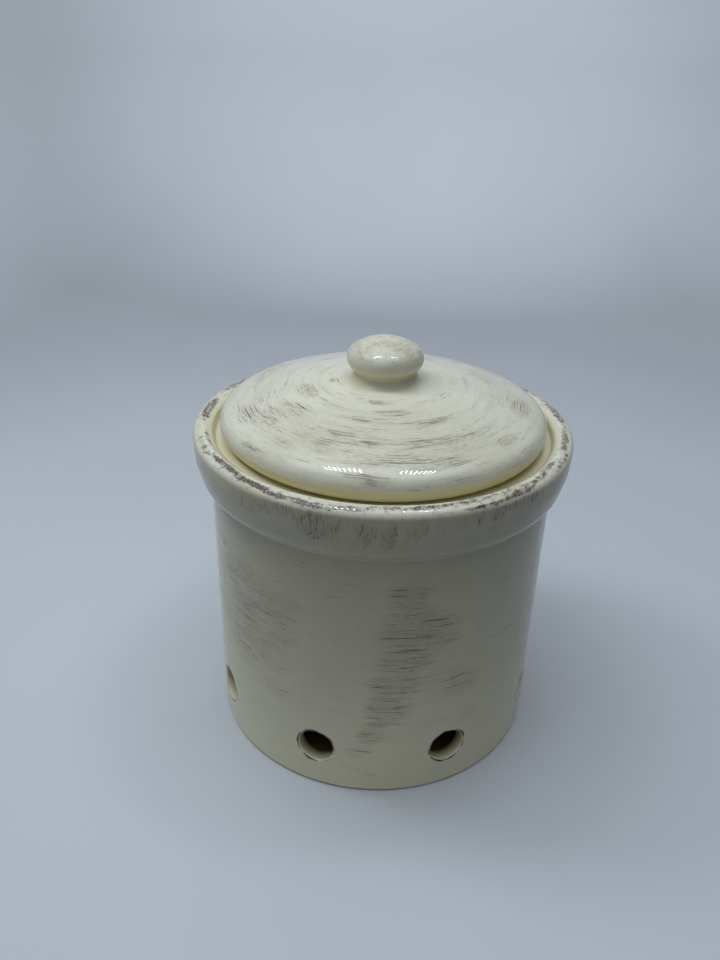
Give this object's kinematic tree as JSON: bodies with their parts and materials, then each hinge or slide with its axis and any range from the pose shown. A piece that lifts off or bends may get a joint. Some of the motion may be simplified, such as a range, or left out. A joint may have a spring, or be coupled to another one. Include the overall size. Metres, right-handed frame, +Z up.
{
  "type": "garlic keeper",
  "caption": "Round glazed stoneware garlic keeper: straight-sided crock with a ring of air vents above the foot, a rolled rim, and a domed drop-in lid with a knob.",
  "frame": {"origin": "centre of the foot ring's standing plane, on the pot's axis", "axes": "+Z up along the pot's axis; -Y is the front, between two vents, so the vents lie 22.5 degrees to each side of -Y"},
  "size_m": [0.1368, 0.1368, 0.1524],
  "materials": {
    "crock_glaze": "gloss",
    "lid_glaze": "gloss",
    "knob_glaze": "gloss"
  },
  "bodies": {
    "crock": {"crock": "crock_glaze"},
    "lid": {"lid": "lid_glaze", "knob": "knob_glaze"}
  },
  "joints": [
    {"name": "lid_lift", "type": "slide", "parent": "crock", "child": "lid", "axis": [0, 0, 1], "range_m": [0, 0.12]}
  ]
}
